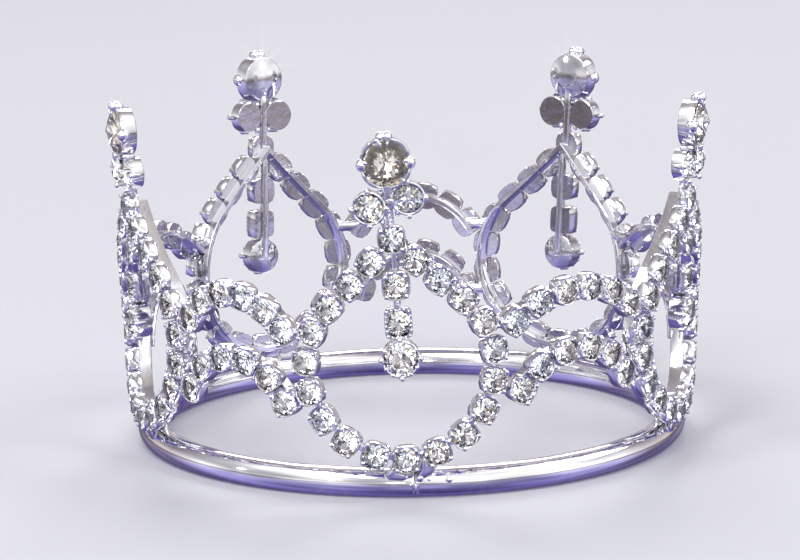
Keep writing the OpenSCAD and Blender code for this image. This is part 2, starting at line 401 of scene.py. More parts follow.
class Sketch:
    """A mesh drawn in millimetres, with how dark each point is painted: grey where it is solder, shaded in
    its hollows.
    """

    BLOCK_END = ((0.8, 1), (0.97, 0.86), (1, 0.6))
    POLE = (0.16, 0.995)
    PLAIN_CUT = 0.5

    def __init__(self) -> None:
        """Starts with nothing drawn."""
        self.points: list[Vector] = []
        self.faces: list[tuple[int, ...]] = []
        self.solder_and_shade: list[float] = []
        self.cut: list[float] = []

    def ring(self, points: Iterable[Vector], solder_and_shade: float = 0.0) -> list[int]:
        """Adds a row of points and returns their numbers."""
        start = len(self.points)
        self.points.extend(points)
        more = len(self.points) - start
        self.solder_and_shade.extend([solder_and_shade] * more)
        self.cut.extend([self.PLAIN_CUT] * more)
        return list(range(start, start + more))

    def skin(self, low: Sequence[int], high: Sequence[int]) -> None:
        """Joins two closed rows of the same length with four-sided faces."""
        n = len(low)
        for i in range(n):
            k = (i + 1) % n
            self.faces.append((low[i], low[k], high[k], high[i]))

    def loft(self, rows: Sequence[Sequence[int]], closed: bool = False) -> None:
        """Joins rows one after the other, and closes the ends or the whole run.

        Args:
            rows: Rows of point numbers, all of the same length.
            closed: Whether the last row joins the first one.
        """
        for low, high in zip(rows, rows[1:]):
            self.skin(low, high)
        if closed:
            self.skin(rows[-1], rows[0])
        else:
            self.faces.append(tuple(reversed(rows[0])))
            self.faces.append(tuple(rows[-1]))

    def lathe(
        self,
        turns: Sequence[Turn],
        sides: int,
        matrix: Matrix,
        power: float = 3.0,
        wave: Callable[[float, Turn], float] | None = None,
    ) -> None:
        """Draws a turned shape round the matrix's own Z.

        Args:
            turns: The rings, from one end to the other.
            sides: Points round each ring.
            matrix: Where the shape stands.
            power: How sharp the corners of a square ring are.
            wave: Height added at an angle of a ring, where the rim is scalloped.
        """
        rows = []
        for turn in turns:
            row = []
            for angle in angles(sides):
                radius = turn.radius * (1 + turn.square * (squared(angle, power) - 1))
                lift = wave(angle, turn) if wave else 0.0
                row.append(matrix @ polar(radius, angle, turn.height + lift))
            rows.append(self.ring(row, turn.solder_and_shade))
        self.loft(rows)

    def bead(
        self, matrix: Matrix, half: Sequence[float], sides: int = 12, rows: int = 6, solder_and_shade: float = 0.0
    ) -> None:
        """Draws a smooth bead.

        Args:
            matrix: The bead's middle and its turn.
            half: Half sizes along its three axes.
            sides: Points round it.
            rows: Bands from pole to pole.
            solder_and_shade: How much it is darkened, by the grey of solder and by painted shade.
        """
        angles = [math.pi * i / rows for i in range(1, rows)]
        bands = [(math.sin(a), -math.cos(a)) for a in angles]
        wide, high = self.POLE
        turns = [Turn(r, h, 0, solder_and_shade) for r, h in ((wide, -high), *bands, (wide, high))]
        self.lathe(turns, sides, matrix @ Matrix.Diagonal((*half, 1)))

    def block(self, matrix: Matrix, half: Sequence[float], solder_and_shade: float = 0.0) -> None:
        """Draws a block with rounded edges.

        Args:
            matrix: The block's middle and its turn.
            half: Half sizes along its three axes.
            solder_and_shade: How much it is darkened, by the grey of solder and by painted shade.
        """
        low = [Turn(r, -h, 1, solder_and_shade) for r, h in self.BLOCK_END]
        turns = [*low, *(Turn(r, h, 1, solder_and_shade) for r, h in reversed(self.BLOCK_END))]
        self.lathe(turns, 20, matrix @ Matrix.Diagonal((*half, 1)), power=6)

    def take(self, mesh: Mesh) -> None:
        """Adds a finished mesh, which is in metres, with its marks of solder grey and painted shade and its
        cut values.
        """
        start = len(self.points)
        self.points.extend(v.co / MM for v in mesh.vertices)
        self.faces.extend(tuple(start + i for i in face.vertices) for face in mesh.polygons)
        for values, title in ((self.solder_and_shade, "solder_and_shade"), (self.cut, "cut")):
            values.extend(item.value for item in mesh.attributes[title].data)

    def mesh(self, name: str, material: Material, crease: float = 38.0) -> Mesh:
        """Makes the mesh, in metres, with its faces outward.

        Args:
            name: The mesh's name.
            material: Its finish.
            crease: Edges sharper than this many degrees stay crisp.

        Returns:
            The new mesh.
        """
        mesh = bpy.data.meshes.new(name)
        mesh.from_pydata([p * MM for p in self.points], [], self.faces)
        for values, title in ((self.solder_and_shade, "solder_and_shade"), (self.cut, "cut")):
            mesh.attributes.new(title, "FLOAT", "POINT").data.foreach_set("value", values)
        face_out(mesh)
        mesh.shade_smooth()
        mesh.set_sharp_from_angle(angle=math.radians(crease))
        mesh.materials.append(material)
        return mesh


# The finishes.


class Bench:
    """A node tree being wired."""

    def __init__(self, tree: bpy.types.NodeTree) -> None:
        """Clears the tree."""
        self.tree = tree
        tree.nodes.clear()

    def add(self, kind: str, inputs: Inputs | None = None, **settings: object) -> bpy.types.Node:
        """Adds a node.

        Args:
            kind: The node's type.
            inputs: Values or sockets for its inputs, by name or number.
            settings: Its own settings.

        Returns:
            The node.
        """
        node = self.tree.nodes.new(kind)
        for key, value in settings.items():
            setattr(node, key, value)
        for key, value in (inputs or {}).items():
            if isinstance(value, Socket):
                self.tree.links.new(value, node.inputs[key])
            else:
                node.inputs[key].default_value = value
        return node

    def mark(self, title: str) -> Socket:
        """Reads a value that the mesh carries, such as how dull it is."""
        return self.add("ShaderNodeAttribute", attribute_name=title).outputs["Fac"]

    def noise(self, where: Socket, scale: float, detail: float) -> Socket:
        """Adds soft noise and returns its value."""
        inputs = {"Vector": where, "Scale": scale, "Detail": detail}
        return self.add("ShaderNodeTexNoise", inputs).outputs["Fac"]

    def remap(self, value: Socket, *ends: float) -> Socket:
        """Maps a value from the range of the first two ends to that of the others, or to 0 to 1."""
        limits = dict(zip(("From Min", "From Max", "To Min", "To Max"), ends))
        return self.add("ShaderNodeMapRange", {"Value": value, **limits}).outputs["Result"]

    def ramp(self, factor: Socket, stops: Sequence[tuple[float, Colour]], steps: str = "LINEAR") -> Socket:
        """Adds a colour ramp.

        Args:
            factor: The value that picks the colour.
            stops: Each colour and where it stands.
            steps: How one colour goes over into the next.

        Returns:
            The colour.
        """
        node = self.add("ShaderNodeValToRGB", {"Fac": factor})
        band = node.color_ramp
        band.interpolation = steps
        while len(band.elements) < len(stops):
            band.elements.new(0.5)
        for element, (at, colour) in zip(band.elements, stops):
            element.position = at
            element.color = (*colour, 1)
        return node.outputs["Color"]

    def mix(self, factor: object, first: object, second: object, blend: str = "MIX") -> Socket:
        """Mixes two colours and returns the result."""
        values = {"Fac": factor, "Color1": first, "Color2": second}
        return self.add("ShaderNodeMixRGB", values, blend_type=blend).outputs["Color"]

    def surface(self, inputs: Inputs) -> None:
        """Wires a principled surface to the material's output."""
        shader = self.add("ShaderNodeBsdfPrincipled", inputs)
        self.add("ShaderNodeOutputMaterial", {"Surface": shader.outputs["BSDF"]})


def new_material(name: str) -> tuple[Material, Bench]:
    """Makes a material and the bench that wires it."""
    material = bpy.data.materials.new(name)
    material.use_nodes = True
    return material, Bench(material.node_tree)


@dataclass(frozen=True)
class MetalFinish:
    """Bright plated metal with faint ripples and smudges, greyer solder and shade painted into its hollows.
    """

    name: str
    colour: Colour
    shade: Colour
    gloss: float
    smudge: float
    ripple: float
    ripple_mm: float
    smear_scale: float = 210.0
    ripple_deep: float = 0.0001
    darkest_cup: Colour = (0.86, 0.86, 0.88)

    def material(self) -> Material:
        """Makes the material."""
        material, bench = new_material(self.name)
        where = bench.add("ShaderNodeTexCoord").outputs["Object"]
        smear = bench.noise(where, self.smear_scale, 3.0)
        rough = bench.remap(smear, 0.35, 0.75, self.gloss, self.smudge)
        wave = bench.noise(where, 1 / (self.ripple_mm * MM), 2.0)
        relief = {"Strength": self.ripple, "Distance": self.ripple_deep, "Height": wave}
        bump = bench.add("ShaderNodeBump", relief).outputs["Normal"]
        solder_and_shade, cut = bench.mark("solder_and_shade"), bench.mark("cut")
        tone = bench.ramp(cut, ((0.0, self.darkest_cup), (1.0, WHITE)))
        # Painted: the colour goes towards the shade colour where the mesh marks solder, which is greyer, and
        # where shade is painted into hollows and under parts.
        body = bench.mix(solder_and_shade, (*self.colour, 1), (*self.shade, 1))
        body = bench.mix(1.0, body, tone, "MULTIPLY")
        bench.surface({"Base Color": body, "Metallic": 1.0, "Roughness": rough, "Normal": bump})
        return material


@dataclass(frozen=True)
class CrystalFinish:
    """The clear cut glass of the stones, a little different from stone to stone."""

    name: str = "cut_crystal"
    ior: float = 1.6
    cool: Colour = (0.9, 0.94, 1.0)
    warm: Colour = (1.0, 0.965, 0.93)

    def material(self) -> Material:
        """Makes the material."""
        material, bench = new_material(self.name)
        tint = bench.ramp(bench.mark("cut"), ((0.0, self.cool), (0.5, WHITE), (1.0, self.warm)))
        bench.surface({"Base Color": tint, "Roughness": 0.0, "IOR": self.ior, "Transmission Weight": 1.0})
        return material


@dataclass(frozen=True)
class FoilFinish:
    """The foil behind a stone, which paints each facet with one of a few tones: painted glints, coloured
    flashes and darker facets.
    """

    name: str
    painted_flashes: tuple[Colour, ...]
    gloss: float
    metal: float

    def material(self) -> Material:
        """Makes the material."""
        material, bench = new_material(self.name)
        marks = {0: bench.mark("facet"), 1: bench.mark("cut")}
        total = bench.add("ShaderNodeMath", marks, operation="ADD").outputs[0]
        pick = bench.add("ShaderNodeMath", {0: total}, operation="FRACT").outputs[0]
        last = len(self.painted_flashes) - 1
        # Each facet picks one tone at random: painted glints, coloured flashes and darker facets.
        tone = bench.ramp(pick, [(i / last, tone) for i, tone in enumerate(self.painted_flashes)])
        bench.surface({"Base Color": tone, "Metallic": self.metal, "Roughness": self.gloss})
        return material


@dataclass(frozen=True)
class FloorFinish:
    """The plain pale floor."""

    name: str = "pale_floor"
    colour: Colour = (0.66, 0.66, 0.7)
    dim: float = 0.95

    def material(self) -> Material:
        """Makes the material."""
        material, bench = new_material(self.name)
        grain = bench.noise(bench.add("ShaderNodeTexCoord").outputs["Object"], 3.0, 2.0)
        dark = tuple(c * self.dim for c in self.colour)
        bench.surface({"Base Color": bench.ramp(grain, ((0.3, dark), (0.7, self.colour))), "Roughness": 0.6})
        return material


@dataclass(frozen=True)
class Finishes:
    """All finishes of the tiara, made once."""

    ring: Material
    cups: Material
    crystal: Material
    foil: Material
    warm_foil: Material

    @classmethod
    def make(cls) -> "Finishes":
        """Makes every material."""
        ring = MetalFinish("polished_ring", (0.95, 0.94, 0.95), (0.5, 0.47, 0.46), 0.04, 0.1, 0.02, 9.0)
        cups = MetalFinish("bright_plate", (0.95, 0.95, 0.97), (0.5, 0.49, 0.52), 0.05, 0.14, 0.24, 1.2)
        # Foil tones, painted: white glints, blue and brown flashes and greyer facets, for the silver foil
        # and then the warm one.
        bright = (
            (0.98, 0.98, 1.0), (0.72, 0.78, 0.9), (0.97, 0.97, 1.0),
            (0.8, 0.72, 0.6), (0.6, 0.61, 0.65), WHITE,
        )
        warm = (
            (0.97, 0.95, 0.92), (0.72, 0.7, 0.67), (1.0, 0.98, 0.96),
            (0.84, 0.76, 0.66), (0.66, 0.7, 0.76), (1.0, 0.9, 0.78),
        )
        foils = FoilFinish("silver_foil", bright, 0.03, 0.96), FoilFinish("warm_foil", warm, 0.04, 0.88)
        return cls(*(finish.material() for finish in (ring, cups, CrystalFinish(), *foils)))


# The shapes that repeat.


class ChainTree:
    """Geometry Nodes that set one copy of a shape at each place of a chain."""

    SOCKETS = {
        "Places": "Geometry",
        "Shape": "Object",
        "Tilt": "Float",
        "Seed": "Int",
        "Finish": "Material",
        "Foil": "Material",
    }

    def __init__(self, name: str, foiled: bool) -> None:
        """Wires the tree.

        Args:
            name: The tree's name.
            foiled: Whether faces marked as foil get the second finish.
        """
        self.tree = bpy.data.node_groups.new(name, "GeometryNodeTree")
        self.ids: dict[str, str] = {}
        face = self.tree.interface
        for title, kind in self.SOCKETS.items():
            made = face.new_socket(name=title, in_out="INPUT", socket_type=f"NodeSocket{kind}")
            self.ids[title] = made.identifier
        face.new_socket(name="Chain", in_out="OUTPUT", socket_type="NodeSocketGeometry")
        bench = Bench(self.tree)
        given = bench.add("NodeGroupInput").outputs
        marked = self.copies(bench, given)
        real = bench.add("GeometryNodeRealizeInstances", {0: marked})
        dressed = {"Geometry": real.outputs[0], "Material": given["Finish"]}
        last = bench.add("GeometryNodeSetMaterial", dressed).outputs[0]
        if foiled:
            behind = bench.add("GeometryNodeInputNamedAttribute", {"Name": "foil"}, data_type="BOOLEAN")
            backed = {"Geometry": last, "Selection": behind.outputs["Attribute"], "Material": given["Foil"]}
            last = bench.add("GeometryNodeSetMaterial", backed).outputs[0]
        bench.add("NodeGroupOutput", {"Chain": last})

    def copies(self, bench: Bench, given: bpy.types.NodeOutputs) -> Socket:
        """Wires the copies, each a little tilted and with a value of its own.

        Args:
            bench: The tree's bench.
            given: The tree's inputs.

        Returns:
            The copies, with the value stored as their cut.
        """
        turn = bench.add("GeometryNodeInputNamedAttribute", {"Name": "turn"}, data_type="QUATERNION")
        ends = {0: (-1.0, -1.0, -1.0), 1: (1.0, 1.0, 1.0), "Seed": given["Seed"]}
        spread = bench.add("FunctionNodeRandomValue", ends, data_type="FLOAT_VECTOR")
        scaled = {0: spread.outputs[0], "Scale": given["Tilt"]}
        tilt = bench.add("ShaderNodeVectorMath", scaled, operation="SCALE")
        lean = bench.add("FunctionNodeEulerToRotation", {0: tilt.outputs[0]})
        turns = {0: turn.outputs["Attribute"], 1: lean.outputs[0]}
        facing = bench.add("FunctionNodeRotateRotation", turns, rotation_space="LOCAL")
        shape = bench.add("GeometryNodeObjectInfo", {"Object": given["Shape"]}).outputs["Geometry"]
        spots = {"Points": given["Places"], "Instance": shape, "Rotation": facing.outputs[0]}
        placed = bench.add("GeometryNodeInstanceOnPoints", spots).outputs[0]
        chance = bench.add("FunctionNodeRandomValue", {"Seed": given["Seed"]}, data_type="FLOAT")
        marks = {"Geometry": placed, "Name": "cut", "Value": chance.outputs[1]}
        store = "GeometryNodeStoreNamedAttribute"
        return bench.add(store, marks, data_type="FLOAT", domain="INSTANCE").outputs[0]

    def run(self, name: str, frames: Sequence[Matrix], **values: object) -> Mesh:
        """Makes a plain mesh of the copies.

        Args:
            name: Name of the mesh.
            frames: Where each copy stands, in millimetres.
            values: The tree's other inputs, by name.

        Returns:
            The mesh, in metres.
        """
        spots = bpy.data.meshes.new("spots")
        spots.from_pydata([f.translation * MM for f in frames], [], [])
        turn = spots.attributes.new("turn", "QUATERNION", "POINT")
        for item, f in zip(turn.data, frames):
            item.value = f.to_quaternion()
        carrier = shown("carrier", spots)
        modifier = carrier.modifiers.new("chain", "NODES")
        modifier.node_group = self.tree
        for title, value in values.items():
            modifier[self.ids[title]] = value
        depsgraph = bpy.context.evaluated_depsgraph_get()
        mesh = bpy.data.meshes.new_from_object(carrier.evaluated_get(depsgraph))
        mesh.name = name
        carrier.modifiers.remove(modifier)
        bpy.data.objects.remove(carrier)
        bpy.data.meshes.remove(spots)
        return mesh


@dataclass(frozen=True)
class CutStone:
    """A brilliant-cut stone: table, star, kite and half facets over a pavilion, foiled where asked."""

    radius: float
    mains: int
    low: float
    girdle: float
    table: float
    seed: int
    table_part: float = 0.56
    star_part: float = 0.77
    half_part: float = 0.24
    edge_part: float = 0.04
    foiled: bool = False

    def rows(self) -> list[list[Vector]]:
        """Rows of corners: table, stars, upper and lower edge of the girdle, halves and tip."""
        n, r, step = self.mains, self.radius, math.pi / self.mains
        table_r, star_r, half_r = (p * r for p in (self.table_part, self.star_part, self.half_part))
        fall = (self.girdle - self.table) / (r - table_r)
        under = self.girdle - self.edge_part * r
        sizes = (
            (table_r, self.table, n, 0.0),
            (star_r, self.table + (star_r * math.cos(step) - table_r) * fall, n, step),
            (r, self.girdle, 2 * n, 0.0),
            (r, under, 2 * n, 0.0),
            (half_r, self.low + half_r * math.cos(step) * (under - self.low) / r, n, step),
        )
        rings = [[polar(size, turn, z) for turn in angles(m, start)] for size, z, m, start in sizes]
        return [*rings, [Vector((0, 0, self.low))]]

    def shape(self, name: str) -> Thing:
        """Makes the stone as an object in metres, its foiled faces marked."""
        n, rows = self.mains, self.rows()
        tab, star, top, bottom, half, tip = (sum(len(row) for row in rows[:i]) for i in range(len(rows)))
        crown: list[tuple[int, ...]] = [tuple(range(tab, tab + n))]
        pavilion: list[tuple[int, ...]] = []
        for i in range(n):
            nxt, prev, g, h = (i + 1) % n, (i - 1) % n, 2 * i, (2 * i + 2) % (2 * n)
            crown += [
                (tab + i, star + i, tab + nxt),
                (tab + i, star + prev, top + g, star + i),
                (star + i, top + g, top + g + 1),
                (star + i, top + g + 1, top + h),
                (top + g, bottom + g, bottom + g + 1, top + g + 1),
                (top + g + 1, bottom + g + 1, bottom + h, top + h),
            ]
            pavilion += [
                (half + i, bottom + g + 1, bottom + g),
                (half + i, bottom + h, bottom + g + 1),
                (tip, half + i, bottom + g, half + prev),
            ]
        mesh = bpy.data.meshes.new(name)
        mesh.from_pydata([p * MM for row in rows for p in row], [], crown + pavilion)
        draw = random.Random(self.seed)
        for title, kind in (("foil", "BOOLEAN"), ("facet", "FLOAT")):
            mesh.attributes.new(title, kind, "FACE")
        foil, facet = (mesh.attributes[title].data for title in ("foil", "facet"))
        for i in range(len(mesh.polygons)):
            foil[i].value = self.foiled and i >= len(crown)
            facet[i].value = draw.random()
        face_out(mesh)
        return shown(name, mesh)


@dataclass(frozen=True)
class ChainCup:
    """The small squarish cup of the chain, with four ball-ended claws at its corners."""

    half: float = 1.56
    wall: float = 1.2
    pocket: float = 1.44
    claw_at: float = 1.54
    claw_r: float = 0.28
    claw_top: float = 1.52

    def draw(self, sketch: Sketch, matrix: Matrix, sunk: float) -> None:
        """Draws the cup's box and its claws.

        Args:
            sketch: The sketch that it joins.
            matrix: Its place, Z outward.
            sunk: How far its base reaches below the place.
        """
        # The last value of each ring paints shade: darkest at the cup's foot and on the floor of its pocket.
        turns = [
            Turn(self.half * 0.94, -sunk, 1, 0.5),
            Turn(self.half, 0.12 - sunk, 1, 0.3),
            Turn(self.half, self.wall - 0.14, 1, 0.05),
            Turn(self.half - 0.05, self.wall, 0.8, 0),
            Turn(self.pocket, self.wall - 0.02, 0, 0.2),
            Turn(self.pocket - 0.03, 0.05, 0, 1.0),
        ]
        sketch.lathe(turns, 16, matrix, power=3.4)
        for corner in around(matrix, 4, self.claw_at, math.pi / 4):
            self.claw(sketch, corner)

    def claw(self, sketch: Sketch, matrix: Matrix) -> None:
        """Draws one claw: a short post that ends in a ball over the stone's edge."""
        top, r = self.claw_top, self.claw_r
        # The last value of each ring paints shade at the claw's foot.
        turns = [
            Turn(r * 0.75, 0.25, 0, 0.5),
            Turn(r * 0.72, top - 2.0 * r, 0, 0.35),
            Turn(r, top - 1.1 * r, 0, 0),
            Turn(r * 0.82, top - 0.36 * r, 0, 0),
            Turn(r * 0.3, top, 0, 0),
        ]
        sketch.lathe(turns, 7, matrix)

    def shape(self, sunk: float, material: Material) -> Thing:
        """Makes the cup as an object in metres."""
        sketch = Sketch()
        self.draw(sketch, Matrix(), sunk)
        return shown("chain_cup_shape", sketch.mesh("chain_cup_shape", material))


class Workshop:
    """The repeated shapes and the trees that place them."""

    CUP_TILT = 1.6
    CHAIN_TILT = 3.2

    def __init__(self, finishes: Finishes) -> None:
        """Makes the shapes.

        Args:
            finishes: The tiara's finishes.
        """
        self.finishes = finishes
        self.cup_tree = ChainTree("chain_of_cups", foiled=False)
        self.stone_tree = ChainTree("chain_of_stones", foiled=True)
        self.cup = ChainCup().shape(0.1, finishes.cups)
        self.sunk_cup = ChainCup().shape(0.35, finishes.cups)
        self.small = CutStone(1.4, 8, 0.1, 1.1, 1.53, seed=11).shape("chain_stone_shape")
        self.pair = CutStone(1.56, 8, 0.16, 1.3, 1.85, seed=12, foiled=True).shape("pair_stone_shape")
        self.drop = CutStone(1.84, 8, 0.12, 1.35, 2.0, seed=13).shape("drop_stone_shape")
        top = CutStone(2.54, 12, 0.12, 1.7, 2.34, seed=14, half_part=0.3, foiled=True)
        self.top = top.shape("top_stone_shape")

    def cups(self, frames: Sequence[Matrix], seed: int, sunk: bool = False) -> Mesh:
        """Makes the cups of a chain as one mesh."""
        values = {"Shape": self.sunk_cup if sunk else self.cup, "Finish": self.finishes.cups}
        return self.cup_tree.run("cups", frames, **values, Tilt=math.radians(self.CUP_TILT), Seed=seed)

    def stones(
        self, name: str, frames: Sequence[Matrix], shape: Thing, seed: int, tilt: float, *nodes: str
    ) -> None:
        """Makes a piece of stones and lets it stand for its nodes.

        Args:
            name: The piece's name.
            frames: Where each stone stands.
            shape: The stone's shape.
            seed: Seed of the tilts.
            tilt: Largest tilt in degrees.
            nodes: The nodes that it replaces.
        """
        foil = self.finishes.warm_foil if shape == self.top else self.finishes.foil
        values = {"Shape": shape, "Finish": self.finishes.crystal, "Foil": foil}
        mesh = self.stone_tree.run(name, frames, **values, Tilt=math.radians(tilt), Seed=seed)
        settle(name, mesh, Slot.CRYSTAL, *nodes)

    def clear(self) -> None:
        """Takes the shapes out of the scene."""
        for shape in (self.cup, self.sunk_cup, self.small, self.pair, self.drop, self.top):
            mesh = shape.data
            bpy.data.objects.remove(shape)
            bpy.data.meshes.remove(mesh)


# The pieces.


@dataclass(frozen=True)
class Strip:
    """The flat strip on edge that carries the cups."""

    thick: float = CROWN.strip_t
    inner: float = -CROWN.strip_w
    outer: float = 0.0
    bevel: float = 0.13

    def profile(self) -> list[Triple]:
        """Corners of the strip's section: offset from its middle, place in the wall, and painted shade."""
        t, b = self.thick / 2, self.bevel
        return [
            (b - t, self.outer, 0.1),
            (t - b, self.outer, 0.1),
            (t, self.outer - b, 0.0),
            (t, self.inner + b, 0.25),
            (t - b, self.inner, 0.0),
            (b - t, self.inner, 0.0),
            (-t, self.inner + b, 0.25),
            (-t, self.outer - b, 0.0),
        ]

    def draw(self, sketch: Sketch, matrix: Matrix, edge: Callable[[float], Outline], closed: bool) -> None:
        """Draws the strip along an outline.

        Args:
            sketch: The sketch that it joins.
            matrix: The frame of the point or the bay.
            edge: Gives the outline at an offset from the middle.
            closed: Whether the outline is closed.
        """
        columns = []
        for grow, out, _ in self.profile():
            columns.append([matrix @ CROWN.on_shell(u, h, out) for u, h in edge(grow)])
        rows = [sketch.ring(section) for section in zip(*columns)]
        for row in rows:
            for number, (_, _, solder_and_shade) in zip(row, self.profile()):
                sketch.solder_and_shade[number] = solder_and_shade
        sketch.loft(rows, closed)


@dataclass(frozen=True)
class RoundSetting:
    """A round setting with a scalloped rim, for one of the bigger stones."""

    radius: float
    pocket: float
    wall: float
    claw_r: float
    claw_top: float
    lobes: int = 8
    sunk: float = 0.2
    swell: float = 0.0
    dip: float = 0.09

    def cup(self, sketch: Sketch, matrix: Matrix) -> None:
        """Draws the setting without its claws."""
        r, p, w, s = self.radius, self.pocket, self.wall, self.swell
        # The last value of each ring paints shade: darkest at the setting's foot and on the floor of its
        # pocket.
        turns = [
            Turn(r * 0.9, -self.sunk, 0, 0.5),
            Turn(r * 0.96, 0.1 - self.sunk, 0, 0.4),
            Turn(r * 0.975, w * 0.4, s * 0.5, 0.2),
            Turn(r * 0.99, w * 0.8, s, 0.05),
            Turn(r * 0.985, w - 0.02, s, 0),
            Turn((r + p) / 2, w + 0.04, s * 0.6, 0),
            Turn(p, w - 0.02, 0, 0.1),
            Turn(p - 0.02, 0.06, 0, 1.0),
        ]

        def scallop(angle: float, turn: Turn) -> float:
            """Lift of the rim between its dips."""
            return -self.dip * (1 - abs(math.cos(self.lobes * angle / 2))) if turn.height >= w * 0.7 else 0.0

        sketch.lathe(turns, 48, matrix, wave=scallop)

    def draw(self, sketch: Sketch, matrix: Matrix) -> None:
        """Draws the setting with four round claws."""
        self.cup(sketch, matrix)
        top, r = self.claw_top, self.claw_r
        # The last value of each ring paints shade at the claw's foot.
        turns = [
            Turn(r * 0.7, 0.35, 0, 0.4),
            Turn(r * 0.75, top - 2.1 * r, 0, 0.3),
            Turn(r * 0.98, top - 1.3 * r, 0, 0),
            Turn(r, top - 0.9 * r, 0, 0),
            Turn(r * 0.78, top - 0.35 * r, 0, 0),
            Turn(r * 0.3, top, 0, 0),
        ]
        for side in around(matrix, 4, self.radius):
            sketch.lathe(turns, 12, side)


@dataclass(frozen=True)
class BaseRing:
    """The polished tube ring, with its seam and the solder under each loop."""

    stations: int = 224
    sides: int = 32
    seam: float = 0.5
    near_seam: tuple[float, ...] = (-2.4, -1.2, -0.5, -0.15, -0.06, 0.0, 0.06, 0.15, 0.5, 1.2, 2.4)
    groove: float = 0.2
    groove_half: float = 0.13
    step: float = 0.07
    step_reach: float = 5.0
    lump_sides: int = 20
    front_beads: tuple[Triple, ...] = (
        (0.27, 0.1, 0.22),
        (1.28, 0.75, 0.45),
        (1.95, 0.95, 0.2),
        (2.28, 0.55, 0.18),
        (4.47, 0.4, 0.34),
        (-2.4, 1.25, 0.2),
    )
    left_web: tuple[tuple[float, float], ...] = (
        (-2.6, 1.3), (-2.1, 0.7), (-0.6, 0.5), (0.1, 0.8), (-0.6, 1.5), (-1.3, 1.6), (-1.6, 2.4), (-1.9, 1.9)
    )
    right_web: tuple[tuple[float, float], ...] = (
        (0.8, 0.8), (1.6, 0.6), (2.7, 1.1), (3.2, 1.8), (2.3, 2.3), (1.9, 3.4), (1.6, 2.6), (1.4, 1.5)
    )

    def tube(self, sketch: Sketch) -> None:
        """Draws the tube, with a groove and a slight step at its seam."""
        turns = [d / CROWN.ring_r for d in self.near_seam]
        rest, gap, last = self.stations - len(turns), turns[-1] - turns[0], turns[-1]
        turns += [last + (math.tau - gap) * (i + 1) / (rest + 1) for i in range(rest)]
        rows = []
        for angle in turns:
            from_seam = (angle if angle < math.pi else angle - math.tau) * CROWN.ring_r
            groove = self.groove * max(0.0, 1 - abs(from_seam) / self.groove_half)
            side = 1 if from_seam > 0 else -1
            step = side * self.step * max(0.0, 1 - abs(from_seam) / self.step_reach) ** 2
            azimuth = math.radians(self.seam) + angle
            r = CROWN.tube_r - groove
            row = []
            for about in angles(self.sides):
                out = CROWN.ring_r - step + r * math.cos(about)
                height = max(0.0, CROWN.foot_z + r * math.sin(about) + step * 0.6)
                row.append(Vector((out * math.sin(azimuth), -out * math.cos(azimuth), height)))
            # The seam's groove gets painted shade.
            rows.append(sketch.ring(row, 0.6 if groove else 0.0))
        sketch.loft(rows, closed=True)

    def solder(self, sketch: Sketch, point: Point, number: int) -> None:
        """Draws the lump of solder under a loop, and the beads that ran off it.

        Args:
            sketch: The sketch that it joins.
            point: The point above it.
            number: The point's number, which seeds its lumps.
        """
        draw = random.Random(40 + number)
        matrix = point.matrix()
        wide = 1.55 if number == 0 else 1.3
        levels = (
            (-0.1, 1.0, 1.0),
            (0.7, 1.0, 1.0),
            (1.2, 0.95, wide * 0.94),
            (1.55, 0.86, wide * 0.9),
            (1.8, 0.8, 1.0 + (wide - 1) * 0.3),
            (2.2, 0.78, 0.92),
            (2.52, 0.82, 0.95),
            (2.75, 0.9, 1.04),
        )
        rows = []
        for height, part, broad in levels:
            lumps = [1 + draw.uniform(-0.05, 0.03) for _ in range(self.lump_sides)]
            row = []
            for angle, lump in zip(angles(self.lump_sides), lumps):
                reach = squared(angle, 2.8) * part * lump
                u = 1.66 * reach * broad / part * math.cos(angle)
                w = -1.1 + 0.88 * reach * math.sin(angle)
                lift = 0.028 * u * u if height > 2 else 0.0
                row.append(matrix @ Vector((u, -w, height + lift)))
            rows.append(sketch.ring(row, 0.25))
        sketch.loft(rows)
        beads = self.front_beads if number == 0 else [
            (draw.uniform(-2.6, 2.6), draw.uniform(0.9, 1.35), draw.uniform(0.16, 0.34)) for _ in range(4)
        ]
        for u, height, size in beads:
            w = math.sqrt(CROWN.tube_r**2 - height**2) - 1.05
            half = (size * draw.uniform(1.0, 1.25), size * 0.8, size)
            sketch.bead(matrix @ shift(u, -w, height), half, 10)

    def webs(self, sketch: Sketch, matrix: Matrix, size: float) -> None:
        """Draws the thin solder between the lowest cups, which leans out a little over the tube.

        Args:
            sketch: The sketch that it joins.
            matrix: The frame of the point above it.
            size: How wide it is, beside that of the front.
        """
        for outline in (self.left_web, self.right_web):
            mid_u, mid_h = (sum(values) / len(outline) for values in zip(*outline))
            rows = []
            for wide, back in ((1.0, 0.5), (1.0, 0.1), (0.9, 0.0), (0.6, -0.07), (0.25, -0.1)):
                row = []
                for at_u, at_h in outline:
                    u, h = mid_u + (at_u - mid_u) * wide, mid_h + (at_h - mid_h) * wide
                    row.append(matrix @ Vector((u * size, back - 0.5 - 0.13 * (h - 0.55), h)))
                rows.append(sketch.ring(row, 0.1))
            sketch.loft(rows)

    def burr(self, sketch: Sketch) -> None:
        """Draws the small burr where the tube's ends were closed."""
        reach, lowest = CROWN.tube_r - 0.06, 0.15
        for down, size in ((-8, 0.4), (38, 0.3)):
            angle = math.radians(down)
            out = CROWN.ring_r + reach * math.cos(angle)
            height = max(CROWN.foot_z + reach * math.sin(angle), lowest)
            at = spin("Z", math.radians(self.seam)) @ shift(0.05, -out, height)
            sketch.bead(at @ spin("X", angle), (0.13, 0.12, size), 8, solder_and_shade=0.2)

